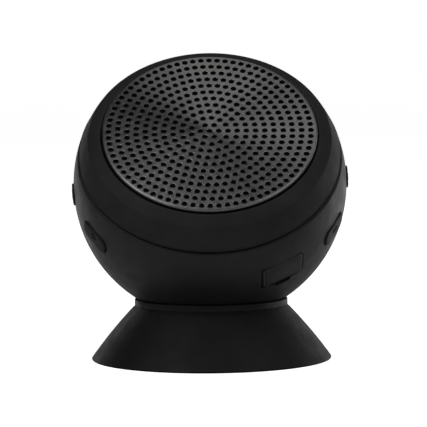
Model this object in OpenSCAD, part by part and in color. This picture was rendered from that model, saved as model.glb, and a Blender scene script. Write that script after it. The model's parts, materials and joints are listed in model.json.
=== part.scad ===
// Ball-shaped shower speaker on a suction-cup base, in millimetres.
// +Z is up, the origin is the centre of the cup's resting plane, and the speaker faces -Y.
// Everything inside the ball is drawn in the ball's own frame: its origin is the ball's
// centre and its +Z runs out through the middle of the grille.

/* [Ball] */
// Outer radius of the ball
ball_r = 42; // [41.5:0.1:42.5]
// Height of the ball's centre above the resting plane
ball_z = 54; // [53.8:0.1:54.6]
// Tilt of the speaker's face away from straight up, in degrees
face_tilt = 44.3; // [0:0.1:50]
// Thickness of the ball's shell
wall = 2.4; // [2.2:0.1:2.6]
// Angle from the face's axis to the crease where the bevel meets the ball
crease_angle = 61; // [60:0.5:62]
// Angle from the face's axis to the seam between the two shells
seam_angle = 72.1; // [71.5:0.1:73]
// Width of the seam groove
seam_gap = 0.8; // [0.6:0.1:1]

/* [Grille] */
// Radius of the grille disc
grille_r = 32.4; // [32:0.1:32.6]
// Height of the grille's face above the ball's centre
grille_face = 23.2; // [23:0.1:23.4]
// Thickness of the grille's sheet metal
grille_t = 0.8; // [0.6:0.1:0.9]
// Diameter of one hole
hole_d = 1.7; // [1:0.1:1.8]
// Distance from one ring of holes to the next
hole_pitch = 2.766; // [2.7:0.01:2.8]
// Number of rings of holes
hole_rings = 11; // [1:1:11]

/* [Driver] */
// Radius of the driver's flange
flange_r = 26.6; // [26.4:0.1:26.6]
// Radius of the moving cone
cone_r = 19.6; // [19:0.1:19.6]
// Radius of the voice coil's tube
coil_r = 8; // [7.9:0.1:8]
// Radius of the ring magnet
magnet_r = 16; // [15:0.5:17]

/* [Buttons] */
// How far a button stands out of the ball
button_proud = 0.6; // [0.4:0.1:0.8]
// Height of every button, across the belt
button_h = 5.6; // [5:0.1:6]
// Width of a rear button, along the belt
rear_button_w = 7; // [6.4:0.1:8.4]
// Width of a front button, along the belt
front_button_w = 12; // [10:0.1:12.5]
// Running gap round each button
button_gap = 0.35; // [0.2:0.05:0.4]

/* [Charging port] */
// Direction of the port round the face's axis, in degrees
port_azimuth = -59; // [-60:0.5:-58]
// Width of the port's cover, along the belt
cover_w = 14.2; // [13.5:0.1:14.5]
// Height of the port's cover, across the belt
cover_h = 8; // [7:0.1:8.4]

/* [Suction base] */
// Radius of the cup at its rim
cup_r = 37; // [36:0.5:38]
// Radius of the cup and of the collar at the neck
neck_r = 23.6; // [23.4:0.1:24]
// Height of the cup's top edge
cup_h = 16.6; // [16.4:0.1:16.7]
// Outward bulge of the cup's side
cup_bulge = 0.4; // [0.1:0.1:1]
// Height of the vacuum chamber at its middle
chamber_h = 5; // [4:0.1:5.2]

/* [Hidden] */
$fn = 128;
hole_fn = 24;

// Colours
rubber_black = [0.09, 0.09, 0.10];
shell_black = [0.13, 0.13, 0.14];
steel_grey = [0.42, 0.42, 0.43];
bright_steel = [0.7, 0.7, 0.72];
board_green = [0.05, 0.3, 0.15];

// Levels in the ball's frame, from the grille inwards
inner_r = ball_r - wall;
crease_r = ball_r * sin(crease_angle);
crease_z = ball_r * cos(crease_angle);
bevel_slope = 0.625;
pocket_r = grille_r + 0.3;
bevel_top = crease_z + bevel_slope * (crease_r - pocket_r);
seam_z = ball_r * cos(seam_angle);
front_edge = seam_z + seam_gap / 2;
rear_edge = seam_z - seam_gap / 2;
lip_r = 37.1;
pocket_floor = grille_face - 2.6;
flange_top = grille_face - 4.2;
flange_t = 1.2;
gasket_t = 0.6;
ledge_z = flange_top - flange_t - gasket_t;
baffle_back = ledge_z - 2;

// Levels of the driver's motor
plate_top = flange_top - 14;
plate_t = 2.8;
magnet_t = 5.6;
yoke_t = 2.6;
magnet_back = plate_top - plate_t - magnet_t;
spider_z = plate_top + 2.4;

// Board, battery and screw positions
board_top = -1.8;
board_t = 1.6;
board_bottom = board_top - board_t;
board_r = 36.3;
board_hole_r = 18.5;
column_r = 3;
column_place = 30.3;
column_angles = [-40, 50, 140, 230];
post_x = 12;
post_y = 17.6;
post_r = 2.4;
battery_size = [44, 28, 8];
battery_top = -15;
driver_screw_place = 25;

// Buttons: angle round the face's axis, angle from it, width
volume_up = [0, 86.5, rear_button_w];
volume_down = [-27, 90.3, front_button_w];
play = [-146.5, 87.8, front_button_w];
power = [-174, 89.5, rear_button_w];
BUTTONS = [volume_up, volume_down, play, power];
flange_x = 37.6;
plunger_x = 37;
switch_front = 36.4;
switch_back = 32.8;

// Charging port
port_z = -0.1;
port_boss_x = 37.2;
hinge_r = 0.6;
hinge_y = -cover_w / 2 + hinge_r;
hinge_x = ball_r - 1.05;
plug_size = [9, 3.6];
plug_y = 0.6;

// Levels of the base, from the chamber up
hub_bottom = chamber_h + 1.4;
hub_top = hub_bottom + 1.8;
hub_r = 20.5;
turn_z = hub_top + 0.7;
plate_z = turn_z + 1.1;
spindle_r = 4;
collar_r = 21.8;
collar_top = ball_z - 35.2;
screw_r = 1.6;

// ---------- shapes that repeat ----------

// Puts its children in the ball's frame
module in_ball() {
    translate([0, 0, ball_z]) rotate([face_tilt, 0, 0]) children();
}

// A round tube or washer between two heights
module tube(r_out, r_in, z0, z1) {
    difference() {
        translate([0, 0, z0]) cylinder(r = r_out, h = z1 - z0);
        translate([0, 0, z0 - 1]) cylinder(r = r_in, h = z1 - z0 + 2);
    }
}

// A round bar between two heights
module bar(r, z0, z1) {
    translate([0, 0, z0]) cylinder(r = r, h = z1 - z0);
}

// Outline of a rectangle with rounded corners
function rounded(w, h, r) = [
    for (corner = [0:3], step = [0:6])
        let (
            sx = corner == 0 || corner == 3 ? 1 : -1,
            sy = corner < 2 ? 1 : -1,
            a = 90 * corner + 15 * step
        )
        [sx * (w / 2 - r) + r * cos(a), sy * (h / 2 - r) + r * sin(a)]
];

// A rounded block that runs along +X from x0 to x1
module radial_block(w, h, r, x0, x1) {
    translate([x0, 0, 0]) rotate([90, 0, 90])
        linear_extrude(height = x1 - x0) polygon(rounded(w, h, r));
}

// A rod that runs along +X
module radial_rod(r, x0, x1) {
    translate([x0, 0, 0]) rotate([0, 90, 0]) cylinder(r = r, h = x1 - x0);
}

// Puts its children on the radial line of one button
module at_button(b) {
    rotate([0, 0, b[0]]) translate([0, 0, ball_r * cos(b[1])]) children();
}

// Puts its children at the port, with +X outwards
module at_port() {
    rotate([0, 0, port_azimuth]) translate([0, 0, port_z]) children();
}

// Puts its children at each housing column
module at_columns() {
    for (a = column_angles) rotate([0, 0, a]) translate([column_place, 0, 0]) children();
}

// Puts its children at each post of the battery tray
module at_posts() {
    for (x = [-post_x, post_x], y = [-post_y, post_y]) translate([x, y, 0]) children();
}

// A pan-head screw with its head's seat at z = 0 and its shank downwards
module screw(head_r, head_h, shank_r, shank_l) {
    difference() {
        union() {
            bar(head_r, 0, head_h);
            bar(shank_r, -shank_l, 0.1);
        }
        for (a = [0, 90]) rotate([0, 0, a])
            translate([-head_r * 0.6, -0.3, head_h * 0.5]) cube([head_r * 1.2, 0.6, head_h]);
    }
}

// ---------- suction base ----------

// Points of the cup's bulged side, from the neck down to the rim
function cup_side() = [
    for (i = [0:12])
        let (
            t = i / 12,
            lift = 4 * cup_bulge * t * (1 - t)
        )
        [
            neck_r + (cup_r - neck_r) * t + lift * 0.78,
            cup_h - (cup_h - 0.5) * t + lift * 0.62
        ]
];

module suction_cup() {
    floor_inner = [
        [0, chamber_h], [hub_r - 1.5, chamber_h], [hub_r + 1.5, chamber_h + 1.6],
        [hub_r + 4, chamber_h + 2.9], [hub_r + 6, chamber_h + 2.6],
        [cup_r - 7.4, chamber_h - 0.4], [cup_r - 3.2, 0]
    ];
    pocket = [
        [neck_r - 0.2, cup_h], [collar_r + 0.3, cup_h - 0.3],
        [collar_r + 0.3, hub_top], [hub_r, hub_top], [hub_r, hub_bottom], [0, hub_bottom]
    ];
    side = cup_side();
    color(rubber_black) rotate_extrude() polygon(concat(
        floor_inner,
        [[cup_r - 0.4, 0], [cup_r - 0.1, 0.12]],
        [for (i = [12:-1:0]) side[i]],
        pocket
    ));
}

module base_hub() {
    color(shell_black) difference() {
        union() {
            bar(hub_r, hub_bottom, hub_top);
            bar(spindle_r, hub_top - 0.1, plate_z + 0.05);
        }
        bar(screw_r, hub_bottom + 0.5, plate_z + 1);
    }
}

module glide_ring() {
    color("ivory") tube(hub_r - 2.5, spindle_r + 5, hub_top, turn_z - 0.1);
}

module pivot_screw() {
    color(bright_steel) translate([0, 0, plate_z + 0.45])
        screw(3.6, 0.9, screw_r, plate_z - hub_bottom - 0.25);
}

module pivot_washer() {
    color(bright_steel) tube(5.6, screw_r, plate_z + 0.05, plate_z + 0.45);
}

// ---------- swivel seat under the ball ----------

module neck_collar() {
    color(shell_black) difference() {
        rotate_extrude() polygon([
            [spindle_r + 0.05, turn_z], [collar_r, turn_z], [collar_r, cup_h + 0.3],
            [neck_r - 0.3, cup_h + 0.3], [neck_r, cup_h + 0.6],
            [neck_r, collar_top - 0.4], [neck_r - 0.4, collar_top],
            [collar_r - 2.6, collar_top], [collar_r - 2.6, plate_z], [spindle_r + 0.05, plate_z]
        ]);
        translate([0, 0, ball_z]) sphere(r = ball_r + 0.35);
        tube(collar_r - 0.5, collar_r - 2.7, collar_top - 3.4, collar_top + 1);
    }
}

module seat_ring() {
    color(rubber_black) difference() {
        tube(collar_r - 0.5, collar_r - 2.6, collar_top - 3.4, collar_top);
        translate([0, 0, ball_z]) sphere(r = ball_r + 0.1);
    }
}

module magnet_cup() {
    color(steel_grey) union() {
        tube(16.8, 9, plate_z, plate_z + 0.8);
        tube(16.8, 15.7, plate_z, plate_z + 3);
    }
}

module seat_magnet() {
    color(bright_steel) tube(15.6, 9.6, plate_z + 0.8, plate_z + 2.8);
}

// ---------- ball shells and seal ----------

module front_shell() {
    color(shell_black) in_ball() difference() {
        intersection() {
            sphere(r = ball_r);
            rotate_extrude() polygon([
                [0, front_edge],
                [pocket_r + (bevel_top - front_edge) / bevel_slope, front_edge],
                [pocket_r, bevel_top],
                [0, bevel_top]
            ]);
        }
        bar(lip_r + 0.2, front_edge - 1, baffle_back);
        bar(pocket_r, pocket_floor, bevel_top + 1);
        bar(flange_r + 0.2, ledge_z, bevel_top);
        bar(flange_r - 2, front_edge, bevel_top);
        at_columns() {
            bar(2.35, pocket_floor - 3, bevel_top);
            bar(1.4, front_edge, bevel_top);
        }
        for (a = [0:90:270]) rotate([0, 0, a])
            translate([driver_screw_place, 0, 0]) bar(0.8, ledge_z - 1.5, ledge_z + 1);
    }
}

// The opening that one button moves in
module button_opening(b) {
    at_button(b)
        radial_block(b[2] + 2 * button_gap, button_h + 2 * button_gap, 2.8, flange_x, ball_r + 3);
}

// The recess for the port's cover, its hinge groove and the way in to the socket
module port_opening() {
    at_port() {
        difference() {
            radial_block(cover_w + 0.6, cover_h + 0.6, 2, ball_r - 4, ball_r + 3);
            translate([0, 0, -port_z]) sphere(r = ball_r - 1.5);
        }
        translate([hinge_x, hinge_y, -cover_h / 2 - 0.3]) cylinder(r = hinge_r + 0.15, h = cover_h + 0.6);
        translate([0, plug_y, 0])
            radial_block(plug_size[0] + 1.4, plug_size[1] + 0.8, 1.5, port_boss_x - 1, ball_r + 1);
    }
}

module rear_shell() {
    color(shell_black) in_ball() difference() {
        union() {
            difference() {
                sphere(r = ball_r);
                sphere(r = inner_r);
                bar(ball_r + 1, rear_edge, ball_r + 1);
            }
            tube(lip_r, lip_r - 1, rear_edge - 1, front_edge + 1.6);
            intersection() {
                sphere(r = ball_r - 1);
                union() {
                    tube(ball_r, lip_r - 1, rear_edge - 3, rear_edge);
                    at_columns() {
                        bar(column_r, -ball_r, baffle_back);
                        bar(column_r + 1.2, -ball_r, board_bottom);
                    }
                    at_port() radial_block(cover_w + 3.4, cover_h + 3, 2, port_boss_x, ball_r);
                }
            }
        }
        for (b = BUTTONS) button_opening(b);
        port_opening();
        at_columns() bar(1.25, baffle_back - 12, baffle_back + 1);
        rotate([0, 0, 160]) translate([0, 0, board_top + 1]) radial_rod(1.05, inner_r - 4, ball_r + 1);
    }
}

module seam_gasket() {
    depth = 0.5;
    surface_r = sqrt(ball_r * ball_r - seam_z * seam_z);
    color(rubber_black) in_ball() tube(surface_r - depth, lip_r + 0.3, rear_edge, front_edge);
}

// ---------- grille ----------

module front_grille() {
    edge = 0.6;
    back = grille_face - grille_t;
    color(steel_grey) in_ball() difference() {
        rotate_extrude() polygon(concat(
            [[0, back], [grille_r - grille_t, back], [grille_r - grille_t, pocket_floor + 0.1],
             [grille_r, pocket_floor + 0.1]],
            [for (a = [0:15:90]) [grille_r - edge + edge * cos(a), grille_face - edge + edge * sin(a)]],
            [[0, grille_face]]
        ));
        bar(hole_d / 2, back - 1, grille_face + 1, $fn = hole_fn);
        for (ring = [1:hole_rings])
            for (i = [0:7 * ring - 2])
                rotate([0, 0, i * 360 / (7 * ring - 1)]) translate([ring * hole_pitch, 0, 0])
                    bar(hole_d / 2, back - 1, grille_face + 1, $fn = hole_fn);
    }
}

module grille_cloth() {
    color([0.05, 0.05, 0.05]) in_ball() bar(grille_r - 1, grille_face - grille_t - 0.25, grille_face - grille_t);
}

// ---------- driver ----------

module driver_gasket() {
    color(rubber_black) in_ball() difference() {
        tube(flange_r, flange_r - 1.9, ledge_z, ledge_z + gasket_t);
        for (a = [0:90:270]) rotate([0, 0, a])
            translate([driver_screw_place, 0, 0]) bar(0.9, ledge_z - 1, ledge_z + 2);
    }
}

module driver_frame() {
    flange_bottom = flange_top - flange_t;
    color(steel_grey) in_ball() difference() {
        rotate_extrude() polygon([
            [flange_r, flange_top], [flange_r, flange_bottom], [24.2, flange_bottom],
            [17.4, plate_top + 2.2], [magnet_r + 0.4, plate_top], [9.4, plate_top],
            [9.4, plate_top + 1], [14.9, plate_top + 1], [14.9, spider_z],
            [16.3, spider_z], [22.6, flange_bottom - 0.6], [22.6, flange_top]
        ]);
        for (a = [45:90:315]) rotate([0, 0, a])
            translate([14, -6, plate_top + 4.5]) cube([14, 12, 6]);
        for (a = [0:90:270]) rotate([0, 0, a])
            translate([driver_screw_place, 0, 0]) bar(0.9, flange_bottom - 1, flange_top + 1);
    }
}

module driver_surround() {
    roll_r = 1.6;
    roll_place = cone_r + roll_r;
    foot = flange_top + 0.3;
    color(rubber_black) in_ball() rotate_extrude() polygon(concat(
        [[cone_r - 0.8, flange_top], [cone_r, flange_top]],
        [for (a = [180:-15:0]) [roll_place + (roll_r - 0.3) * cos(a), foot + (roll_r - 0.3) * sin(a)]],
        [[roll_place + roll_r, flange_top], [roll_place + roll_r + 0.8, flange_top],
         [roll_place + roll_r + 0.8, foot]],
        [for (a = [0:15:180]) [roll_place + roll_r * cos(a), foot + roll_r * sin(a)]],
        [[cone_r - 0.8, foot]]
    ));
}

module driver_spider() {
    waves = 3;
    run = 16.2 - coil_r - 1.2;
    bottom = [for (i = [0:24]) [coil_r + 0.1 + run * i / 24, spider_z + 0.5 - 0.5 * cos(waves * 15 * i)]];
    color("peru") in_ball() rotate_extrude() polygon(concat(
        bottom, [[16.2, spider_z], [16.2, spider_z + 0.3]],
        [for (i = [24:-1:0]) bottom[i] + [0, 0.3]]
    ));
}

module top_plate() {
    color(bright_steel) in_ball() tube(magnet_r - 1, coil_r + 0.9, plate_top - plate_t, plate_top);
}

module driver_magnet() {
    color([0.2, 0.2, 0.22]) in_ball() tube(magnet_r, coil_r + 2, magnet_back, magnet_back + magnet_t);
}

module yoke() {
    color(bright_steel) in_ball() difference() {
        union() {
            bar(magnet_r - 1, magnet_back - yoke_t, magnet_back);
            bar(coil_r - 0.8, magnet_back - 1, plate_top - 0.2);
        }
        bar(2, magnet_back - yoke_t - 1, plate_top + 1);
    }
}

module driver_screws() {
    color(bright_steel) in_ball() for (a = [0:90:270]) rotate([0, 0, a])
        translate([driver_screw_place, 0, flange_top]) screw(1.4, 0.9, 0.8, 3.2);
}

module terminal_strip() {
    color("tan") in_ball() translate([-4, 24.4, 10]) cube([8, 1, 5]);
}

module speaker_leads() {
    color("firebrick") in_ball() for (x = [-2, 2]) translate([x, 24.9, 0]) bar(0.5, board_top, 10);
}

module driver_cone() {
    rim = flange_top;
    neck = rim - 7.6;
    color([0.16, 0.16, 0.17]) in_ball() rotate_extrude() polygon([
        [cone_r, rim], [cone_r - 0.8, rim], [coil_r, neck], [coil_r, neck - 0.7],
        [cone_r - 0.7, rim - 0.5], [cone_r, rim - 0.5]
    ]);
}

module dust_cap() {
    cap_r = coil_r + 1.2;
    seat = flange_top - 7.6 + 1.2 * 7.6 / (cone_r - 0.8 - coil_r);
    dome = 2.2;
    dome_r = (cap_r * cap_r + dome * dome) / (2 * dome);
    color([0.12, 0.12, 0.13]) in_ball() difference() {
        intersection() {
            translate([0, 0, seat + 0.05 + dome - dome_r]) sphere(r = dome_r);
            bar(cap_r, seat + 0.05, seat + 5);
        }
        translate([0, 0, seat + 0.05 + dome - dome_r - 0.4]) sphere(r = dome_r);
    }
}

module voice_coil() {
    color("orangered") in_ball() union() {
        tube(coil_r, coil_r - 0.4, plate_top - 3.6, flange_top - 7.6);
        tube(coil_r + 0.5, coil_r - 0.2, plate_top - 3.4, plate_top + 0.6);
    }
}

// ---------- electronics ----------

module main_board() {
    color(board_green) in_ball() difference() {
        tube(board_r, board_hole_r, board_bottom, board_top);
        at_columns() bar(column_r + 0.2, board_bottom - 1, board_top + 1);
        at_posts() bar(1.1, board_bottom - 1, board_top + 1);
    }
}

module radio_module() {
    color(bright_steel) in_ball() translate([-6, -31, board_bottom - 2]) cube([12, 9, 2]);
}

module board_chips() {
    color([0.08, 0.08, 0.08]) in_ball() {
        translate([-28, -3, board_top]) cube([6, 6, 1]);
        translate([-26, 7, board_top]) cube([4, 4, 3]);
        translate([-26, -12, board_top]) cube([4, 4, 3]);
        translate([22, 4, board_top]) cube([6, 5, 2.6]);
    }
}

module charge_socket() {
    size = [9, 3.2];
    color(bright_steel) in_ball() at_port() translate([0, plug_y, 0]) difference() {
        radial_block(size[0], size[1] + 0.2, 1.4, port_boss_x - 7.4, port_boss_x);
        difference() {
            radial_block(size[0] - 0.6, size[1] - 0.5, 1.2, port_boss_x - 6.6, port_boss_x + 1);
            radial_block(size[0] - 2.4, 0.7, 0.2, port_boss_x - 7, port_boss_x - 1);
        }
    }
}

module switch_housings() {
    color([0.2, 0.2, 0.2]) in_ball() for (b = BUTTONS) {
        z = ball_r * cos(b[1]);
        rotate([0, 0, b[0]]) difference() {
            translate([switch_back, -3, board_top]) cube([switch_front - switch_back, 6, z + 1.75 - board_top]);
            translate([0, 0, z]) radial_rod(1.1, switch_back + 0.8, switch_front + 1);
        }
    }
}

module battery_cell() {
    size = battery_size;
    color("steelblue") in_ball() translate([0, 0, battery_top - size[2]])
        linear_extrude(height = size[2]) polygon(rounded(size[0], size[1], 2));
}

module battery_tray() {
    inner = [battery_size[0] + 0.4, battery_size[1] + 0.4];
    outer = [battery_size[0] + 2.8, battery_size[1] + 2.8];
    floor_z = battery_top - battery_size[2];
    color([0.25, 0.25, 0.26]) in_ball() difference() {
        union() {
            translate([0, 0, floor_z - 1.2]) linear_extrude(height = 8.2) polygon(rounded(outer[0], outer[1], 3));
            at_posts() bar(post_r, floor_z + 1, board_bottom);
        }
        translate([0, 0, floor_z]) linear_extrude(height = 30) polygon(rounded(inner[0], inner[1], 2));
        at_posts() bar(1, board_bottom - 8, board_bottom + 1);
    }
}

module battery_leads() {
    color("firebrick") in_ball() for (y = [-2, 2]) translate([20, y, 0]) bar(0.6, battery_top, board_bottom);
}

module board_screws() {
    color(bright_steel) in_ball() at_posts() translate([0, 0, board_top]) screw(1.9, 1.2, 1, 8);
}

module housing_screws() {
    color(bright_steel) in_ball() at_columns() translate([0, 0, pocket_floor - 3]) screw(2.2, 1.8, 1.25, 13);
}

module keeper_plate() {
    color(steel_grey) in_ball() rotate([152, 0, 0]) intersection() {
        difference() {
            sphere(r = inner_r - 0.1);
            sphere(r = inner_r - 1.2);
        }
        translate([-15, -28, 8]) cube([30, 56, ball_r]);
    }
}

module status_led() {
    color("white") in_ball() rotate([0, 0, 160]) translate([34.2, -1, board_top]) cube([2, 2, 1.6]);
}

module light_pipe() {
    color("lightcyan") in_ball() rotate([0, 0, 160]) translate([0, 0, board_top + 1])
        radial_rod(1.05, 36.6, ball_r - 0.1);
}

// ---------- buttons ----------

// A rubber cap with its inner flange and post
module button(b) {
    color(rubber_black) in_ball() {
        intersection() {
            sphere(r = ball_r + button_proud);
            at_button(b) radial_block(b[2], button_h, 2.6, flange_x, ball_r + 3);
        }
        at_button(b) {
            radial_block(b[2] + 2, button_h + 2, 2.8, flange_x, flange_x + 0.9);
            radial_rod(1.4, plunger_x, flange_x + 0.1);
        }
    }
}

// The moving stem of the switch behind a button
module plunger(b) {
    color("ivory") in_ball() at_button(b) radial_rod(1, switch_back + 1.8, plunger_x);
}

module volume_up_button() { button(volume_up); }
module volume_down_button() { button(volume_down); }
module play_button() { button(play); }
module power_button() { button(power); }
module volume_up_plunger() { plunger(volume_up); }
module volume_down_plunger() { plunger(volume_down); }
module play_plunger() { plunger(play); }
module power_plunger() { plunger(power); }

module port_cover() {
    color(rubber_black) in_ball() at_port() {
        intersection() {
            difference() {
                translate([0, 0, -port_z]) sphere(r = ball_r + 0.15);
                translate([0, 0, -port_z]) sphere(r = ball_r - 1.3);
            }
            radial_block(cover_w, cover_h, 2, ball_r - 4, ball_r + 3);
            translate([ball_r - 5, hinge_y, -cover_h]) cube([10, cover_w, 2 * cover_h]);
        }
        translate([hinge_x, hinge_y, -cover_h / 2 + 0.4]) cylinder(r = hinge_r, h = cover_h - 0.8);
        translate([0, plug_y, 0])
            radial_block(plug_size[0], plug_size[1], 1.2, port_boss_x + 1.2, ball_r - 0.8);
    }
}

suction_cup();
base_hub();
glide_ring();
pivot_screw();
pivot_washer();
neck_collar();
seat_ring();
magnet_cup();
seat_magnet();
front_shell();
rear_shell();
seam_gasket();
front_grille();
grille_cloth();
driver_gasket();
driver_frame();
driver_surround();
driver_spider();
top_plate();
driver_magnet();
yoke();
driver_screws();
terminal_strip();
speaker_leads();
driver_cone();
dust_cap();
voice_coil();
main_board();
radio_module();
board_chips();
charge_socket();
switch_housings();
battery_cell();
battery_tray();
battery_leads();
board_screws();
housing_screws();
keeper_plate();
status_led();
light_pipe();
volume_up_button();
volume_up_plunger();
volume_down_button();
volume_down_plunger();
play_button();
play_plunger();
power_button();
power_plunger();
port_cover();
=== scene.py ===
"""Looks of the ball-shaped shower speaker: finer outer pieces, materials, light and camera.

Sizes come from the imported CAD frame. Outlines are in millimetres: those of the ball's pieces
about the ball's centre, with +Z out of the grille, and those of the base with +Z up.
"""

import json
import math

import bmesh
import bpy
import numpy as np
from mathutils import Matrix, Vector, geometry


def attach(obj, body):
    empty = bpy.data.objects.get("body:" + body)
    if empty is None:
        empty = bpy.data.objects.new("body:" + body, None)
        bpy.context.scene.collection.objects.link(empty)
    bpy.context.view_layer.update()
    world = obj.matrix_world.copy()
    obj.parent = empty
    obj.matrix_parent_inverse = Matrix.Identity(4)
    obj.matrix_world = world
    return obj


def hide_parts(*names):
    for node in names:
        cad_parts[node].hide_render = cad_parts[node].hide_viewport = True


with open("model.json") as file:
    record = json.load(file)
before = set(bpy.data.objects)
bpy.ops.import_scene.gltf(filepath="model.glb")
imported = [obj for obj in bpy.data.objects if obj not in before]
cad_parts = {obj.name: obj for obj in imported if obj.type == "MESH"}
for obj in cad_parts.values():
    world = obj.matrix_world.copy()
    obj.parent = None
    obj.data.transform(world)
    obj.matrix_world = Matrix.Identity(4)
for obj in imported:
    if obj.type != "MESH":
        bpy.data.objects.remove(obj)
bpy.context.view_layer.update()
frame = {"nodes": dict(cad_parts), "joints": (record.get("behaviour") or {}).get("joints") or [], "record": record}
scene = bpy.context.scene
MM = 0.001
# Points round each turned piece
TURNS = 256
# Angle in degrees above which an edge stays sharp
SHARP = 35

# ---------- the frame's own sizes ----------

joints = {j["name"]: j for j in frame["joints"]}
ball_centre = Vector(joints["tilt"]["pos_m"])
face_axis = Vector(joints["cone_travel"]["axis"]).normalized()
ball_axes = Matrix((Vector((1, 0, 0)), face_axis.cross(Vector((1, 0, 0))), face_axis)).transposed()
BALL = Matrix.Translation(ball_centre) @ ball_axes.to_4x4()
BASE = Matrix.Identity(4)


def points_of(node, place=BALL):
    """A CAD node's vertices in millimetres, in the frame called place."""
    vertices = frame["nodes"][node].data.vertices
    co = np.empty(len(vertices) * 3)
    vertices.foreach_get("co", co)
    turn = np.array(place.inverted())
    return (co.reshape(-1, 3) @ turn[:3, :3].T + turn[:3, 3]) / MM


def radii(points):
    """Distances of points from the Z axis."""
    return np.hypot(points[:, 0], points[:, 1])


front = points_of("front_shell")
rear = points_of("rear_shell")
grille = points_of("front_grille")
collar = points_of("neck_collar", BASE)
cup = points_of("suction_cup", BASE)

ball_r = float(np.linalg.norm(rear, axis=1).max())
on_ball = np.linalg.norm(front, axis=1) > ball_r - 0.01
crease_z = front[on_ball, 2].max()
crease_r = math.sqrt(ball_r**2 - crease_z**2)
front_edge = front[:, 2].min()
rear_edge = rear[np.linalg.norm(rear, axis=1) > ball_r - 0.01, 2].max()
bevel_top = front[:, 2].max()
pocket_r = radii(front[front[:, 2] > bevel_top - 0.01]).min()
grille_r = radii(grille).max()
grille_face = grille[:, 2].max()
grille_skirt = grille[:, 2].min()
hole_r = radii(grille).min()
hole_pitch = radii(grille)[radii(grille) > 1.5 * hole_r].min() + hole_r
hole_rings = int((grille_r - 1) / hole_pitch)
grille_back = grille[radii(grille) < grille_r / 2, 2].min()
neck_r = radii(collar).max()
collar_top = collar[:, 2].max()
cup_r = radii(cup).max()
cup_h = cup[:, 2].max()
# Thickness of the shells' wall
wall = 2.4
# Corner radius of the buttons
button_corner = 2.6
# Radius of the shells' edges at the seam
seam_round = 0.36
# Room between the ball and the collar's seat
seat_gap = 0.35
# The port's plug and its opening, width and height, and how far they sit off the cover's centre
plug_opening = (10.3, 4.4)
plug_size = (9, 3.6)
plug_across = 0.6

# ---------- outlines ----------


def arc(centre, radius, start, end, steps):
    """Points along an arc, with its angles in degrees."""
    angles = np.radians(np.linspace(start, end, steps + 1))
    return [(centre[0] + radius * math.cos(a), centre[1] + radius * math.sin(a)) for a in angles]


def fillet(corners, steps=5):
    """A closed outline through (x, y, radius) corners, each rounded by its radius."""
    outline = []
    for i, (x, y, radius) in enumerate(corners):
        here = Vector((x, y))
        before = Vector(corners[i - 1][:2]) - here
        after = Vector(corners[(i + 1) % len(corners)][:2]) - here
        if radius <= 0:
            outline.append((x, y))
            continue
        half = before.angle(after) / 2
        middle = (before.normalized() + after.normalized()).normalized()
        centre = here + middle * radius / math.sin(half)
        first = here + before.normalized() * radius / math.tan(half) - centre
        last = here + after.normalized() * radius / math.tan(half) - centre
        sweep = first.angle_signed(last)
        for k in range(steps + 1):
            turned = Matrix.Rotation(-sweep * k / steps, 2) @ first
            outline.append(tuple(centre + turned))
    return outline


def circle(radius, sides):
    """Points round a circle about the origin."""
    angles = [2 * math.pi * k / sides for k in range(sides)]
    return [(radius * math.cos(a), radius * math.sin(a)) for a in angles]


def rounded_box(width, height, radius, steps=7):
    """Outline of a rectangle with rounded corners, centred on the origin."""
    x, y = width / 2, height / 2
    return fillet([(x, -y, radius), (x, y, radius), (-x, y, radius), (-x, -y, radius)], steps)


# ---------- meshes ----------


def lathe(bm, outline):
    """Turns a closed outline of (radius, height) points about the Z axis."""
    rings = []
    for radius, height in outline:
        if radius < 1e-6:
            rings.append([bm.verts.new((0, 0, height))] * TURNS)
            continue
        rings.append([bm.verts.new((x, y, height)) for x, y in circle(radius, TURNS)])
    for i, ring in enumerate(rings):
        following = rings[(i + 1) % len(rings)]
        for k in range(TURNS):
            after = (k + 1) % TURNS
            corners = [ring[k], ring[after], following[after], following[k]]
            corners = list(dict.fromkeys(corners))
            if len(corners) > 2:
                bm.faces.new(corners)


def loft(bm, loops):
    """Joins loops that all have the same number of points, and closes both ends."""
    rings = [[bm.verts.new(p) for p in loop] for loop in loops]
    count = len(rings[0])
    for lower, upper in zip(rings, rings[1:]):
        for k in range(count):
            bm.faces.new((lower[k], lower[(k + 1) % count], upper[(k + 1) % count], upper[k]))
    bm.faces.new(rings[0][::-1])
    bm.faces.new(rings[-1])


def mesh_object(name, bm, place=BASE, sharp=SHARP):
    """Makes an object at the origin from a mesh drawn in millimetres in the frame called place."""
    bmesh.ops.recalc_face_normals(bm, faces=bm.faces)
    bm.transform(place @ Matrix.Diagonal((MM, MM, MM, 1)))
    mesh = bpy.data.meshes.new(name)
    bm.to_mesh(mesh)
    bm.free()
    smooth(mesh, sharp)
    obj = bpy.data.objects.new(name, mesh)
    scene.collection.objects.link(obj)
    return obj


def smooth(mesh, sharp=SHARP):
    """Shades a mesh smooth, apart from edges that turn by more than the angle called sharp."""
    mesh.shade_smooth()
    mesh.set_sharp_from_angle(angle=math.radians(sharp))


def carve(obj, cutters):
    """Cuts the cutters out of obj and removes them."""
    for cutter in cutters:
        cut = obj.modifiers.new("cut", "BOOLEAN")
        cut.operation = "DIFFERENCE"
        cut.solver = "EXACT"
        cut.object = cutter
    bpy.context.view_layer.update()
    shaped = obj.evaluated_get(bpy.context.evaluated_depsgraph_get())
    obj.data = bpy.data.meshes.new_from_object(shaped)
    obj.modifiers.clear()
    for cutter in cutters:
        bpy.data.objects.remove(cutter)
    smooth(obj.data)


def finish_piece(obj, body, slot, node):
    """Gives a piece its material and body, in place of a CAD node."""
    obj.data.materials.clear()
    obj.data.materials.append(MATERIALS[slot])
    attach(obj, body)
    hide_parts(node)


# ---------- shader helpers ----------


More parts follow.
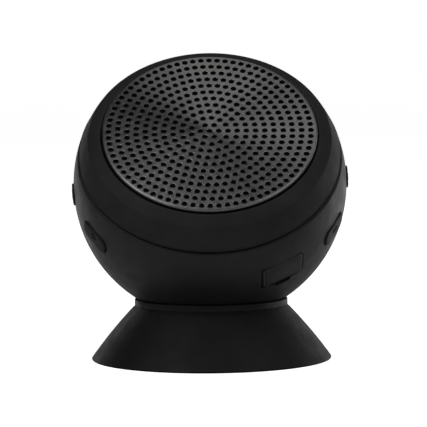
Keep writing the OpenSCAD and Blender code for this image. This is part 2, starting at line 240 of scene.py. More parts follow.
def new_shader(name, base, roughness, metallic=0.0, specular=0.5):
    """A node material with its Principled shader, and object coordinates in millimetres."""
    material = bpy.data.materials.new(name)
    material.use_nodes = True
    tree = material.node_tree
    shader = tree.nodes["Principled BSDF"]
    shader.inputs["Base Color"].default_value = (*base, 1)
    shader.inputs["Roughness"].default_value = roughness
    shader.inputs["Metallic"].default_value = metallic
    shader.inputs["Specular IOR Level"].default_value = specular
    coordinates = tree.nodes.new("ShaderNodeTexCoord")
    mapping = tree.nodes.new("ShaderNodeMapping")
    mapping.inputs["Scale"].default_value = (1 / MM, 1 / MM, 1 / MM)
    tree.links.new(coordinates.outputs["Object"], mapping.inputs["Vector"])
    return material, tree, shader, mapping.outputs["Vector"]


def noise(tree, where, scale, detail=3.0):
    """A noise pattern with scale features in each millimetre."""
    node = tree.nodes.new("ShaderNodeTexNoise")
    node.inputs["Scale"].default_value = scale
    node.inputs["Detail"].default_value = detail
    tree.links.new(where, node.inputs["Vector"])
    return node.outputs["Fac"]


def spread(tree, value, low, high, start=0.3, end=0.7):
    """Spreads a pattern's values from start..end to low..high, which are numbers or colours."""
    ramp = tree.nodes.new("ShaderNodeValToRGB")
    first, last = ramp.color_ramp.elements
    first.position, last.position = start, end
    first.color = (*low, 1) if isinstance(low, tuple) else (low, low, low, 1)
    last.color = (*high, 1) if isinstance(high, tuple) else (high, high, high, 1)
    tree.links.new(value, ramp.inputs["Fac"])
    return ramp.outputs["Color"]


def blend_colours(tree, share, one, other):
    """A mix of two colours; share, one and other are sockets."""
    mix = tree.nodes.new("ShaderNodeMix")
    mix.data_type = "RGBA"
    tree.links.new(share, mix.inputs["Factor"])
    tree.links.new(one, mix.inputs["A"])
    tree.links.new(other, mix.inputs["B"])
    return mix.outputs["Result"]


def emboss(tree, shader, height, strength, depth, before=None):
    """Adds a bump of the given depth in millimetres to a shader, over the normals called before."""
    bump = tree.nodes.new("ShaderNodeBump")
    bump.inputs["Strength"].default_value = strength
    bump.inputs["Distance"].default_value = depth * MM
    tree.links.new(height, bump.inputs["Height"])
    if before is not None:
        tree.links.new(before, bump.inputs["Normal"])
    tree.links.new(bump.outputs["Normal"], shader.inputs["Normal"])
    return bump.outputs["Normal"]


def edge_share(tree):
    """How much a point lies on an outward edge, from 0 to 1."""
    form = tree.nodes.new("ShaderNodeNewGeometry")
    return spread(tree, form.outputs["Pointiness"], 0.0, 1.0, start=0.52, end=0.58)


def grey(level):
    """A neutral colour."""
    return (level, level, level)


def tinted(base, share):
    """A colour made lighter or darker by a share."""
    return tuple(share * c for c in base)


def rough_patches(tree, shader, pattern, low, high):
    """Lets a pattern vary a shader's roughness from low to high."""
    tree.links.new(spread(tree, pattern, low, high), shader.inputs["Roughness"])


# ---------- materials ----------


def soft_black(name, base, worn, roughness, grain, specular):
    """Matte black rubber or soft-touch coat: fine grain, faint handling marks and paler edges.

    Worn is the colour of handled places, and grain the grains in each millimetre.
    """
    material, tree, shader, where = new_shader(name, base, roughness, specular=specular)
    patches = spread(tree, noise(tree, where, 0.09, 4.0), base, worn, start=0.35, end=0.8)
    rubbed = spread(tree, noise(tree, where, 2.0), worn, tinted(worn, 2))
    tone = blend_colours(tree, edge_share(tree), patches, rubbed)
    tree.links.new(tone, shader.inputs["Base Color"])
    rough_patches(tree, shader, noise(tree, where, 0.25, 6.0), roughness - 0.06, roughness + 0.08)
    fine = emboss(tree, shader, noise(tree, where, grain, 2.0), strength=0.35, depth=0.012)
    waves = noise(tree, where, 0.6, 2.0)
    emboss(tree, shader, waves, strength=0.15, depth=0.02, before=fine)
    return material


def leaning_normal(tree, lean):
    """Normals that lean outwards from the object's Z axis, as the flanks of turned grooves do."""
    coordinates = tree.nodes.new("ShaderNodeTexCoord")
    flat = tree.nodes.new("ShaderNodeVectorMath")
    flat.operation = "MULTIPLY"
    flat.inputs[1].default_value = (1, 1, 0)
    tree.links.new(coordinates.outputs["Object"], flat.inputs[0])
    outwards = tree.nodes.new("ShaderNodeVectorMath")
    outwards.operation = "NORMALIZE"
    tree.links.new(flat.outputs["Vector"], outwards.inputs[0])
    to_world = tree.nodes.new("ShaderNodeVectorTransform")
    to_world.vector_type = "VECTOR"
    to_world.convert_from = "OBJECT"
    to_world.convert_to = "WORLD"
    tree.links.new(outwards.outputs["Vector"], to_world.inputs["Vector"])
    form = tree.nodes.new("ShaderNodeNewGeometry")
    leaning = tree.nodes.new("ShaderNodeVectorMath")
    leaning.operation = "MULTIPLY_ADD"
    leaning.inputs[1].default_value = (lean, lean, lean)
    tree.links.new(to_world.outputs["Vector"], leaning.inputs[0])
    tree.links.new(form.outputs["Normal"], leaning.inputs[2])
    unit = tree.nodes.new("ShaderNodeVectorMath")
    unit.operation = "NORMALIZE"
    tree.links.new(leaning.outputs["Vector"], unit.inputs[0])
    return unit.outputs["Vector"]


def turned_metal():
    """Dark satin metal with fine rings round the object's Z axis, as a turned face has."""
    material, tree, shader, where = new_shader("grille_metal", grey(0.16), 0.3, metallic=1.0)
    shader.inputs["Anisotropic"].default_value = 0.5
    tangent = tree.nodes.new("ShaderNodeTangent")
    tangent.direction_type = "RADIAL"
    tangent.axis = "Z"
    tree.links.new(tangent.outputs["Tangent"], shader.inputs["Tangent"])
    rings = tree.nodes.new("ShaderNodeTexWave")
    rings.wave_type = "RINGS"
    rings.rings_direction = "Z"
    rings.inputs["Scale"].default_value = 1.6
    rings.inputs["Distortion"].default_value = 1.5
    rings.inputs["Detail"].default_value = 3.0
    rings.inputs["Detail Scale"].default_value = 0.6
    tree.links.new(where, rings.inputs["Vector"])
    tone = spread(tree, noise(tree, where, 0.12, 5.0), (0.222, 0.222, 0.22), (0.27, 0.268, 0.263))
    bright = spread(tree, rings.outputs["Fac"], 0.3, 0.4)
    edged = blend_colours(tree, edge_share(tree), tone, bright)
    tree.links.new(edged, shader.inputs["Base Color"])
    rough_patches(tree, shader, noise(tree, where, 0.5, 5.0), 0.27, 0.34)
    lean = leaning_normal(tree, math.tan(math.radians(14)))
    emboss(tree, shader, rings.outputs["Fac"], strength=0.15, depth=0.006, before=lean)
    return material


def plated(name, base, roughness):
    """Plated or bare metal with a fine brushed haze."""
    material, tree, shader, where = new_shader(name, base, roughness, metallic=1.0)
    tone = spread(tree, noise(tree, where, 0.4, 5.0), tinted(base, 0.85), base)
    tree.links.new(tone, shader.inputs["Base Color"])
    rough_patches(tree, shader, noise(tree, where, 1.5, 4.0), roughness - 0.06, roughness + 0.1)
    emboss(tree, shader, noise(tree, where, 4.0, 2.0), strength=0.2, depth=0.01)
    return material


def moulded(name, base, roughness):
    """Plastic, laminate or epoxy with a fine moulding texture."""
    material, tree, shader, where = new_shader(name, base, roughness)
    tone = spread(tree, noise(tree, where, 0.3, 4.0), tinted(base, 0.88), tinted(base, 1.08))
    tree.links.new(tone, shader.inputs["Base Color"])
    rough_patches(tree, shader, noise(tree, where, 0.8, 4.0), roughness - 0.05, roughness + 0.07)
    emboss(tree, shader, noise(tree, where, 5.0, 2.0), strength=0.2, depth=0.01)
    return material


def cloth(name, base, threads):
    """Woven cloth with the given number of threads in each millimetre."""
    material, tree, shader, where = new_shader(name, base, 0.9, specular=0.2)
    # A wave texture of scale 0.314 has one band in each unit
    one_band = 0.314
    heights = []
    for direction in ("X", "Y"):
        wave = tree.nodes.new("ShaderNodeTexWave")
        wave.bands_direction = direction
        wave.inputs["Scale"].default_value = threads * one_band
        tree.links.new(where, wave.inputs["Vector"])
        heights.append(wave.outputs["Fac"])
    crossing = tree.nodes.new("ShaderNodeMath")
    crossing.operation = "MAXIMUM"
    tree.links.new(heights[0], crossing.inputs[0])
    tree.links.new(heights[1], crossing.inputs[1])
    # Darker where no thread is raised, where the bump is low: painted shade in the weave's hollows, partly also
    # the real gaps of an open weave
    tone = spread(tree, crossing.outputs["Value"], tinted(base, 0.4), base)
    tree.links.new(tone, shader.inputs["Base Color"])
    emboss(tree, shader, crossing.outputs["Value"], strength=0.6, depth=0.05)
    return material


def wound_copper():
    """Enamelled copper wire, in fine turns one above the other."""
    material, tree, shader, where = new_shader("copper_coil", (0.7, 0.3, 0.15), 0.3, metallic=1.0)
    turns = tree.nodes.new("ShaderNodeTexWave")
    turns.bands_direction = "Z"
    turns.inputs["Scale"].default_value = 1.5
    tree.links.new(where, turns.inputs["Vector"])
    # Darker in the grooves between turns, where the bump is low: painted shade, not a colour the wire has
    tone = spread(tree, turns.outputs["Fac"], (0.35, 0.12, 0.05), (0.75, 0.34, 0.17))
    tree.links.new(tone, shader.inputs["Base Color"])
    emboss(tree, shader, turns.outputs["Fac"], strength=0.5, depth=0.03)
    return material


def clear_lens():
    """Clear moulded light pipe with a faint inner haze."""
    material, tree, shader, where = new_shader("clear_lens", (0.85, 0.9, 0.95), 0.12)
    shader.inputs["Transmission Weight"].default_value = 0.8
    shader.inputs["IOR"].default_value = 1.49
    rough_patches(tree, shader, noise(tree, where, 1.0, 3.0), 0.08, 0.25)
    emboss(tree, shader, noise(tree, where, 2.0, 2.0), strength=0.1, depth=0.01)
    return material


MATERIALS = {
    "cup_rubber": soft_black(
        "cup_rubber",
        base=(0.0074, 0.0074, 0.0076),
        worn=grey(0.0117),
        roughness=0.55,
        grain=3.0,
        specular=0.25,
    ),
    "soft_shell": soft_black(
        "soft_shell",
        base=(0.0106, 0.0106, 0.011),
        worn=(0.016, 0.016, 0.0164),
        roughness=0.5,
        grain=5.0,
        specular=0.39,
    ),
    "face_shell": soft_black(
        "face_shell",
        base=grey(0.023),
        worn=grey(0.033),
        roughness=0.6,
        grain=5.0,
        specular=0.19,
    ),
    "button_rubber": soft_black(
        "button_rubber",
        base=(0.0075, 0.0075, 0.0076),
        worn=grey(0.012),
        roughness=0.6,
        grain=6.0,
        specular=0.28,
    ),
    "seal_rubber": soft_black(
        "seal_rubber",
        base=grey(0.004),
        worn=grey(0.006),
        roughness=0.7,
        grain=6.0,
        specular=0.2,
    ),
    "surround_rubber": soft_black(
        "surround_rubber",
        base=grey(0.012),
        worn=grey(0.02),
        roughness=0.4,
        grain=6.0,
        specular=0.5,
    ),
    "grille_metal": turned_metal(),
    "acoustic_cloth": cloth("acoustic_cloth", grey(0.003), 6),
    "spider_cloth": cloth("spider_cloth", (0.45, 0.3, 0.14), 3),
    "cone_poly": moulded("cone_poly", (0.03, 0.03, 0.033), 0.4),
    "copper_coil": wound_copper(),
    "frame_steel": plated("frame_steel", (0.05, 0.05, 0.055), 0.45),
    "ferrite": moulded("ferrite", (0.06, 0.06, 0.065), 0.6),
    "zinc_steel": plated("zinc_steel", (0.6, 0.6, 0.62), 0.3),
    "nickel_magnet": plated("nickel_magnet", (0.7, 0.69, 0.66), 0.18),
    "shield_can": plated("shield_can", (0.65, 0.65, 0.66), 0.25),
    "circuit_board": moulded("circuit_board", (0.01, 0.12, 0.05), 0.3),
    "chip_black": moulded("chip_black", grey(0.02), 0.5),
    "battery_wrap": moulded("battery_wrap", (0.04, 0.18, 0.45), 0.25),
    "inner_plastic": moulded("inner_plastic", grey(0.03), 0.45),
    "acetal": moulded("acetal", (0.75, 0.73, 0.66), 0.4),
    "phenolic": moulded("phenolic", (0.45, 0.3, 0.16), 0.5),
    "red_wire": moulded("red_wire", (0.5, 0.03, 0.02), 0.35),
    "led_body": moulded("led_body", (0.9, 0.9, 0.85), 0.3),
    "clear_lens": clear_lens(),
}


def dress_cad_nodes():
    """Gives every CAD node the material of its slot."""
    for entry in frame["record"]["subparts"]:
        node = frame["nodes"][entry["node"]]
        node.data.materials.clear()
        node.data.materials.append(MATERIALS[entry["material_slot"]])


# ---------- suction cup and collar ----------


def cup_side():
    """The cup's side from the rim up to the neck, bulged square to its slope."""
    bulge = 0.4
    square_to_slope = (0.78, 0.62)
    rim_h = 0.5
    side = []
    for t in np.linspace(1, 0, 25):
        lift = 4 * bulge * t * (1 - t)
        out = neck_r + (cup_r - neck_r) * t
        up = cup_h - (cup_h - rim_h) * t
        side.append((out + square_to_slope[0] * lift, up + square_to_slope[1] * lift))
    return side


def make_cup():
    """The rubber cup: a thin rolled lip at the rim, and a smooth vacuum chamber under it."""
    inner = cup[radii(cup) < neck_r - 0.1]
    chamber_h = inner[:, 2].min()
    hub_r = float(radii(points_of("base_hub", BASE)).max())
    hub = inner[abs(radii(inner) - hub_r) < 0.01, 2]
    well_floor, hub_top = sorted(set(hub.round(2)))[-2:]
    well_r = float(radii(inner[abs(inner[:, 2] - hub_top) < 0.01]).max())
    lip_round = 0.42
    lip = arc((cup_r - lip_round, lip_round), lip_round, -90, 5, 6)
    edge = 0.12
    well_edge = 0.25
    top = [
        (neck_r - 0.02, cup_h - edge),
        (neck_r - edge, cup_h),
        (well_r + well_edge, cup_h - 0.05),
        (well_r, cup_h - 0.05 - well_edge),
    ]
    well = [(well_r, hub_top), (hub_r, hub_top), (hub_r, well_floor), (0, well_floor)]
    # Radius, height and rounding of each corner of the chamber, from its middle outwards
    chamber = fillet(
        [
            (0, chamber_h, 0),
            (hub_r - 1.5, chamber_h, 3),
            (hub_r + 3.5, chamber_h + 2.9, 3),
            (cup_r - 8.5, chamber_h + 0.4, 6),
            (cup_r - 3.2, 0.0, 0.3),
            (cup_r - 2.6, 0.0, 0),
        ]
    )
    bm = bmesh.new()
    lathe(bm, chamber + lip + cup_side()[1:-1] + top + well)
    finish_piece(mesh_object("cup_skirt", bm), "base", "cup_rubber", "suction_cup")


def make_collar():
    """The collar under the ball, with softened outer edges and its spherical seat."""
    seat_r = ball_r + seat_gap
    centre_z = ball_centre.z / MM
    turn_z = collar[:, 2].min()
    bore_r = radii(collar).min()
    floor_z = collar[radii(collar) < bore_r + 0.01, 2].max()
    ring_r = radii(collar[collar[:, 2] < turn_z + 0.01]).max()
    seat_inner_r = ring_r - 0.45
    seat_outer_r = neck_r - 0.9
    seat_in = math.degrees(math.acos(seat_inner_r / seat_r))
    seat_out = math.degrees(math.acos(seat_outer_r / seat_r))
    seat = arc((0, centre_z), seat_r, -seat_out, -seat_in, 6)
    groove_r = ring_r - 2.6
    groove_z = collar_top - 3.4
    foot = cup_h + 0.08
    foot_round = 0.1
    top_round = 0.3
    outline = [
        (bore_r, turn_z),
        (ring_r, turn_z),
        (ring_r, foot),
        *arc((neck_r - foot_round, foot + foot_round), foot_round, -90, 0, 3),
        *arc((neck_r - top_round, collar_top - top_round), top_round, 0, 80, 5),
        *seat,
        (ring_r - 0.5, groove_z),
        (groove_r, groove_z),
        (groove_r, floor_z),
        (bore_r, floor_z),
    ]
    bm = bmesh.new()
    lathe(bm, outline)
    finish_piece(mesh_object("collar_ring", bm), "swivel", "cup_rubber", "neck_collar")


# ---------- shells ----------

BUTTONS = {"volume_up": "plus", "volume_down": "minus", "play": "triangle", "power": "ring"}


def belt_place(node):
    """A button's or cover's angle round the face axis, level, width and height, from the CAD."""
    points = points_of(node)
    outer = points[np.linalg.norm(points, axis=1) > ball_r - 0.6]
    middle = outer.mean(axis=0)
    angle = math.atan2(middle[1], middle[0])
    across = -outer[:, 0] * math.sin(angle) + outer[:, 1] * math.cos(angle)
    angle += math.atan2((across.max() + across.min()) / 2, ball_r)
    across = -outer[:, 0] * math.sin(angle) + outer[:, 1] * math.cos(angle)
    width = across.max() - across.min()
    level = (outer[:, 2].max() + outer[:, 2].min()) / 2
    height = outer[:, 2].max() - outer[:, 2].min()
    return angle, level, width, height


def on_shell(place, outline, rise):
    """Lays a flat outline on the ball at a place, which is an angle and a level; rise above it."""
    angle, level = place
    turn = Matrix.Rotation(angle, 3, "Z")
    laid = []
    for across, up in outline:
        z = level + up
        depth = math.sqrt((ball_r + rise) ** 2 - across**2 - z**2)
        laid.append(turn @ Vector((depth, across, z)))
    return laid


def opening_cutter(place, width, height, corner, depth, gap=0.22):
    """A cutter that leaves an opening with a softly rounded mouth."""
    bm = bmesh.new()
    # How far each level of the wall is above the ball's surface, and how far it is set back
    flare = [(-depth, 0.0), (-0.3, 0.0), (-0.15, 0.02), (-0.06, 0.06), (0.0, 0.13), (2.0, 0.2)]
    loops = []
    for rise, wider in flare:
        grow = gap + wider
        outline = rounded_box(width + 2 * grow, height + 2 * grow, corner + grow)
        loops.append(on_shell(place, outline, rise))
    loft(bm, loops)
    return mesh_object("cutter", bm, BALL)


def make_front_shell():
    """Front shell: the ball's zone, the crease, the bevelled ring and the grille's pocket."""
    lip_r = math.sqrt(ball_r**2 - front_edge**2)
    start = math.degrees(math.atan2(front_edge, lip_r))
    end = math.degrees(math.atan2(crease_z, crease_r))
    zone = arc((0, 0), ball_r, start + 0.6, end - 1, 16)
    inner_r = radii(front[front[:, 2] < front_edge + 0.01]).min()
    floor_z = grille_skirt - 0.1
    flange_r = radii(points_of("driver_frame")).max() + 0.2
    ledge_z = points_of("driver_gasket")[:, 2].min()
    ledge_r = flange_r - 2.2
    ledge_t = 2
    bevel = fillet(
        [
            (*zone[-1], 0),
            (crease_r, crease_z, 1.0),
            (pocket_r, bevel_top, 0.6),
            (pocket_r, floor_z, 0),
        ]
    )
    outline = [
        *arc((lip_r - 0.4, front_edge + 0.4), seam_round, -90, 10, 4),
        *zone,
        *bevel[1:],
        (flange_r, floor_z),
        (flange_r, ledge_z),
        (ledge_r, ledge_z),
        (ledge_r, ledge_z - ledge_t),
        (inner_r, ledge_z - ledge_t),
        (inner_r, front_edge),
    ]
    bm = bmesh.new()
    lathe(bm, outline)
    finish_piece(mesh_object("front_housing", bm, BALL), "ball", "face_shell", "front_shell")


def button_cutters():
    """The openings that the buttons move in."""
    cutters = []
    for name in BUTTONS:
        angle, level, width, height = belt_place(name + "_button")
        place = (angle, level)
        cutters.append(opening_cutter(place, width, height, corner=button_corner, depth=4))
    return cutters


def port_cutters():
    """The port's recess, its squarer hinge side, the plug's opening and the finger notch."""
    angle, level, width, height = belt_place("port_cover")
    recess = opening_cutter((angle, level), width, height, corner=2, depth=1.5)
    hinge_w = 1.56
    hinge_side = angle + (hinge_w / 2 - width / 2) / ball_r
    hinge = opening_cutter((hinge_side, level), hinge_w, height, corner=0.5, depth=1.5)
    plug_side = angle + plug_across / ball_r
    plug = opening_cutter((plug_side, level), *plug_opening, corner=1.5, depth=4, gap=0.05)
    notch_level = level - height / 2 - 0.5
    notch = opening_cutter((angle, notch_level), 5.6, 2.2, corner=1.09, depth=0.8, gap=0)
    return [recess, hinge, plug, notch]


def light_cutter():
    """The round hole of the light pipe."""
    pipe = points_of("light_pipe").mean(axis=0)
    place = (math.atan2(pipe[1], pipe[0]), pipe[2])
    return opening_cutter(place, 2.1, 2.1, corner=1.04, depth=4, gap=0.03)


def make_rear_shell():
    """Rear shell with its button openings, the port's recess and the light pipe's hole."""
    inner_r = ball_r - wall
    top = math.degrees(math.asin(rear_edge / ball_r))
    lip = radii(rear[rear[:, 2] > rear[:, 2].max() - 0.01])
    lip_top = rear[:, 2].max()
    lip_foot = rear_edge - 3
    foot_angle = math.degrees(math.asin(lip_foot / inner_r))
    mouth_r = math.sqrt(ball_r**2 - rear_edge**2)
    outline = [
        *arc((0, 0), ball_r, -90, top - 0.6, 110),
        *arc((mouth_r - 0.4, rear_edge - 0.4), seam_round, 20, 90, 4),
        (lip.max(), rear_edge),
        (lip.max(), lip_top),
        (lip.min(), lip_top),
        (lip.min(), lip_foot),
        *arc((0, 0), inner_r, foot_angle, -90, 90),
    ]
    outline[0] = (0, -ball_r)
    outline[-1] = (0, -inner_r)
    bm = bmesh.new()
    lathe(bm, outline)
    shell = mesh_object("rear_housing", bm, BALL)
    carve(shell, [*button_cutters(), *port_cutters(), light_cutter()])
    finish_piece(shell, "ball", "soft_shell", "rear_shell")


# ---------- grille ----------


def hole_centres():
    """Centres of the grille's holes: one in the middle, then rings of 7k - 1 holes."""
    centres = [(0.0, 0.0)]
    for ring in range(1, hole_rings + 1):
        count = 7 * ring - 1
        for k in range(count):
            a = 2 * math.pi * k / count
            centres.append((ring * hole_pitch * math.cos(a), ring * hole_pitch * math.sin(a)))
    return centres


def pierced_sheet(bm, height, outer, round_hole, flip):
    """A flat sheet with every hole in it. Returns its outer ring and one ring for each hole."""
    loops = [outer] + [[(cx + x, cy + y) for x, y in round_hole] for cx, cy in hole_centres()]
    points = []
    edges = []
    for loop in loops:
        first = len(points)
        points += [Vector(p) for p in loop]
        edges += [(first + k, first + (k + 1) % len(loop)) for k in range(len(loop))]
    flat, _, faces, sources, _, _ = geometry.delaunay_2d_cdt(points, edges, [], 1, 1e-7)
    made = [bm.verts.new((*p, height)) for p in flat]
    made_from = {source: i for i, found in enumerate(sources) for source in found}
    rings = []
    owner = {}
    first = 0
    for number, loop in enumerate(loops):
        members = [made_from[k] for k in range(first, first + len(loop))]
        rings.append([made[i] for i in members])
        owner.update(dict.fromkeys(members, number))
        first += len(loop)
    for face in faces:
        owners = {owner[i] for i in face}
        if len(owners) > 1 or owners == {0}:
            bm.faces.new([made[i] for i in (reversed(face) if flip else face)])
    return rings


def bridge(bm, one, other):
    """Joins two rings of vertices of the same length with quads."""
    for k in range(len(one)):
        bm.faces.new((one[k], one[(k + 1) % len(one)], other[(k + 1) % len(one)], other[k]))


def make_grille():
    """The pressed metal grille: round-edged holes, rolled rim and its turned-back skirt."""
    roll = 0.5
    soft = 0.1
    inner_skirt = grille_r - 0.8
    sides = 24
    bm = bmesh.new()
    mouth = circle(hole_r + soft, sides)
    throat = circle(hole_r, sides)
    top = pierced_sheet(bm, grille_face, circle(grille_r - roll, TURNS), mouth, False)
    back = pierced_sheet(bm, grille_back, circle(inner_skirt, TURNS), throat, True)
    for (cx, cy), upper, lower in zip(hole_centres(), top[1:], back[1:]):
        above = upper
        for a in (30, 60, 90):
            r = hole_r + soft * (1 - math.sin(math.radians(a)))
            z = grille_face - soft * (1 - math.cos(math.radians(a)))
            ring = [bm.verts.new((cx + x, cy + y, z)) for x, y in circle(r, sides)]
            bridge(bm, above, ring)
            above = ring
        bridge(bm, above, lower)
    above = top[0]
    edge = arc((grille_r - roll, grille_face - roll), roll, 90, 0, 8)[1:]
    for r, z in [*edge, (grille_r, grille_skirt), (inner_skirt, grille_skirt)]:
        ring = [bm.verts.new((x, y, z)) for x, y in circle(r, TURNS)]
        bridge(bm, above, ring)
        above = ring
    bridge(bm, above, back[0])
    disc = mesh_object("grille_disc", bm, BALL, sharp=14)
    # The metal's rings run round the object's own Z axis, so that axis has to be the ball's
    disc.data.transform(BALL.inverted())
    disc.matrix_world = BALL
    finish_piece(disc, "ball", "grille_metal", "front_grille")


# ---------- buttons and port cover ----------


def on_plane(place, distance, outline):
    """Lays a flat outline square to a place's radial line, at a distance from the face axis."""
    angle, level = place
    turn = Matrix.Rotation(angle, 3, "Z")
    return [turn @ Vector((distance, across, level + up)) for across, up in outline]


def pad(bm, place, outline, top, edge, foot):
    """A cushion with rounded edges on the ball; outline(inset) gives its shape at each inset."""
    loops = [on_shell(place, outline(0.0), foot)]
    for a in np.radians((0, 22.5, 45, 67.5, 90)):
        inset = edge * (1 - math.cos(a))
        loops.append(on_shell(place, outline(inset), top - edge * (1 - math.sin(a))))
    for share in (0.35, 0.7):
        loops.append(on_shell(place, outline(edge + share), top + 0.04 * share))
    loft(bm, loops)


def moved(outline, turn=0.0, across=0.0, up=0.0):
    """An outline turned by an angle in degrees and moved."""
    c, s = math.cos(math.radians(turn)), math.sin(math.radians(turn))
    return [(across + c * x - s * y, up + s * x + c * y) for x, y in outline]


def stroke(bm, place, length, top, turn=0.0, across=0.0, up=0.0, thick=0.7):
    """A raised stroke with round ends, as the buttons' marks are made of."""
    loops = []
    for inset, rise in ((0.0, top - 0.3), (0.0, top - 0.08), (0.06, top - 0.02), (0.14, top)):
        outline = rounded_box(length - 2 * inset, thick - 2 * inset, thick / 2 - inset - 0.01, 4)
        loops.append(on_shell(place, moved(outline, turn, across, up), rise))
    loft(bm, loops)


def mark(bm, place, kind, top):
    """The raised mark on a button: plus, minus, triangle or ring."""
    bar = 3.0
    if kind in ("plus", "minus"):
        stroke(bm, place, bar, top)
    if kind == "plus":
        stroke(bm, place, bar, top, turn=90)
    if kind == "triangle":
        for turn, across, up in ((90, -0.75, 0.0), (-30, 0.15, 0.55), (30, 0.15, -0.55)):
            stroke(bm, place, 2.5, top, turn, across, up, thick=0.6)
    if kind == "ring":
        # An open ring of short strokes, with a bar across its side
        ring_r = 1.3
        for k in range(9):
            a = math.radians(-50 + 35 * k + 180)
            across, up = ring_r * math.cos(a), ring_r * math.sin(a)
            stroke(bm, place, 1.25, top, math.degrees(a) + 90, across, up, thick=0.5)
        stroke(bm, place, 1.3, top, across=ring_r, thick=0.5)


def make_button(name, kind):
    """A rubber button: domed cap with soft edges, raised mark, inner flange and post."""
    angle, level, width, height = belt_place(name + "_button")
    place = (angle, level)
    points = points_of(name + "_button")
    proud = np.linalg.norm(points, axis=1).max() - ball_r
    top = proud - 0.1
    bm = bmesh.new()

    def cap_outline(inset):
        return rounded_box(width - 2 * inset, height - 2 * inset, button_corner - inset)

    pad(bm, place, cap_outline, top, edge=0.25, foot=-wall - 0.3)
    mark(bm, place, kind, proud - 0.02)
    flange_rim = 1
    flange = rounded_box(width + 2 * flange_rim, height + 2 * flange_rim, 2.8)
    flange_faces = (37.6, 38.45)
    loft(bm, [on_plane(place, distance, flange) for distance in flange_faces])
    post = rounded_box(2.8, 2.8, 1.39)
    post_ends = (37.04, 37.7)
    loft(bm, [on_plane(place, distance, post) for distance in post_ends])
    cap = mesh_object(name + "_cap", bm, BALL)
    finish_piece(cap, name, "button_rubber", name + "_button")


def make_port_cover():
    """The port's rubber flap: thin pad, hinge barrel and plug."""
    angle, level, width, height = belt_place("port_cover")
    place = (angle, level)
    hinge = BALL.inverted() @ Vector(joints["port_cover_swing"]["pos_m"]) / MM
    hinge = Matrix.Rotation(-angle, 3, "Z") @ hinge

    def flap(inset):
        x0, x1, y = hinge.y + inset, width / 2 - inset, height / 2 - inset
        far, near = 2 - inset, max(0.7 - inset, 0.05)
        return fillet([(x1, -y, far), (x1, y, far), (x0, y, near), (x0, -y, near)], 7)

    bm = bmesh.new()
    pad(bm, place, flap, top=0.08, edge=0.25, foot=-1.2)
    turn = Matrix.Rotation(angle, 3, "Z")
    barrel = []
    # Heights and radii of the barrel, whose ends are rounded
    for z, r in ((-3.6, 0.4), (-3.45, 0.54), (-3.2, 0.6), (3.2, 0.6), (3.45, 0.54), (3.6, 0.4)):
        ring = circle(r, 24)
        barrel.append([turn @ Vector((hinge.x + x, hinge.y + y, level + z)) for x, y in ring])
    loft(bm, barrel)
    plug = []
    # The plug's inner end is tapered
    for distance, inset in ((38.4, 0.5), (38.6, 0.15), (39.0, 0.0), (41.0, 0.0)):
        plug_w, plug_h = plug_size[0] - 2 * inset, plug_size[1] - 2 * inset
        outline = rounded_box(plug_w, plug_h, 1.2 - 0.5 * inset)
        plug.append(on_plane(place, distance, moved(outline, across=plug_across)))
    loft(bm, plug)
    flap_cover = mesh_object("port_flap_cover", bm, BALL)
    finish_piece(flap_cover, "port_flap", "soft_shell", "port_cover")


# ---------- stage, light and camera ----------


def make_stage():
    """A plain pale floor that sweeps up into a backdrop behind the object."""
    half = 6.0
    bend = 0.5
    backdrop_y = 3.0
    backdrop_h = 5.0
    rise = [(backdrop_y + y, z) for y, z in arc((0, bend), bend, -90, 0, 24)]
    path = [(-half, 0.0), *rise, (backdrop_y + bend, backdrop_h)]
    bm = bmesh.new()
    columns = [[bm.verts.new((x, y, z)) for y, z in path] for x in (-half, half)]
    for k in range(len(path) - 1):
        bm.faces.new((columns[0][k], columns[1][k], columns[1][k + 1], columns[0][k + 1]))
    mesh = bpy.data.meshes.new("studio_floor")
    bm.to_mesh(mesh)
    bm.free()
    mesh.shade_smooth()
    floor = bpy.data.objects.new("studio_floor", mesh)
    scene.collection.objects.link(floor)
    material, _, shader, _ = new_shader("pale_paper", grey(0.8), 0.9, specular=0.0)
    shader.inputs["Emission Color"].default_value = (1, 1, 1, 1)
    shader.inputs["Emission Strength"].default_value = 0.965
    mesh.materials.append(material)
    floor.visible_glossy = False
    floor.visible_diffuse = False


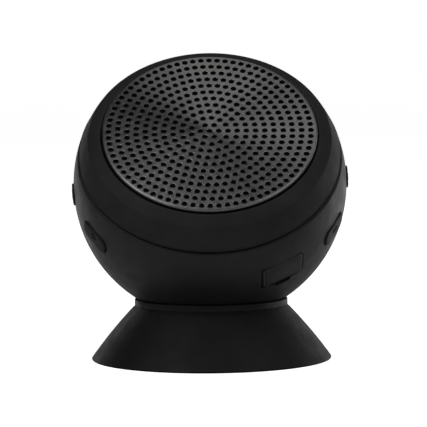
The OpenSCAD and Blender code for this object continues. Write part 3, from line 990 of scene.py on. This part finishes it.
def softbox(name, azimuth, elevation, size, power, distance=1.3):
    """A rectangular studio light that faces the ball; azimuth 0 is the front and 90 the right.

    Its size and distance are in metres and its power in watts.
    """
    light = bpy.data.lights.new(name, "AREA")
    light.shape = "RECTANGLE"
    light.size, light.size_y = size
    light.energy = power
    obj = bpy.data.objects.new(name, light)
    scene.collection.objects.link(obj)
    a, e = math.radians(azimuth), math.radians(elevation)
    towards = Vector((math.sin(a) * math.cos(e), -math.cos(a) * math.cos(e), math.sin(e)))
    obj.location = ball_centre + distance * towards
    obj.rotation_mode = "QUATERNION"
    obj.rotation_quaternion = (-towards).to_track_quat("-Z", "Y")
    obj.visible_camera = False


def make_lights():
    """A pale room: light off the floor, two high lights in front, side and ceiling lights."""
    world = bpy.data.worlds.new("studio")
    scene.world = world
    world.use_nodes = True
    world.node_tree.nodes["Background"].inputs["Color"].default_value = (1, 1, 1, 1)
    world.node_tree.nodes["Background"].inputs["Strength"].default_value = 0.02
    softbox("floor_bounce", 0, -90, (2.4, 2.4), 5.8, ball_centre.z - 0.5 * MM)
    softbox("left_key", -45, 40, (0.7, 0.6), 4)
    softbox("right_key", 45, 40, (0.7, 0.6), 2.4)
    softbox("left_rim", -150, 3, (0.5, 0.9), 1.4)
    softbox("right_rim", 150, 3, (0.5, 0.9), 1.3)
    softbox("right_side", 122, 3, (0.5, 0.9), 2.3)
    softbox("right_ceiling", 100, 60, (0.6, 0.6), 0.62)
    softbox("rear_ceiling", 180, 60, (0.6, 0.6), 0.56)
    softbox("front_ceiling", -40, 60, (0.8, 0.6), 0.2)


def make_camera():
    """A long lens a little above the ball's middle, turned by half a degree."""
    lens = bpy.data.cameras.new("camera")
    camera = bpy.data.objects.new("camera", lens)
    scene.collection.objects.link(camera)
    scene.camera = camera
    lens.sensor_width = 36
    lens.lens = 184.07
    distance = 16.02 * ball_r * MM
    elevation = math.radians(2.77)
    roll = math.radians(-0.53)
    aim_in_ball_radii = Vector((0.0232, 0, -0.2212))
    towards = Vector((0, -math.cos(elevation), math.sin(elevation)))
    camera.location = ball_centre + distance * towards
    aim = ball_centre + aim_in_ball_radii * ball_r * MM
    look = (aim - camera.location).to_track_quat("-Z", "Y")
    camera.rotation_mode = "QUATERNION"
    camera.rotation_quaternion = look @ Matrix.Rotation(roll, 3, "Z").to_quaternion()
    scene.view_settings.view_transform = "Standard"


make_camera()
make_lights()
make_stage()
dress_cad_nodes()
make_cup()
make_collar()
make_front_shell()
make_rear_shell()
make_grille()
for button, kind in BUTTONS.items():
    make_button(button, kind)
make_port_cover()
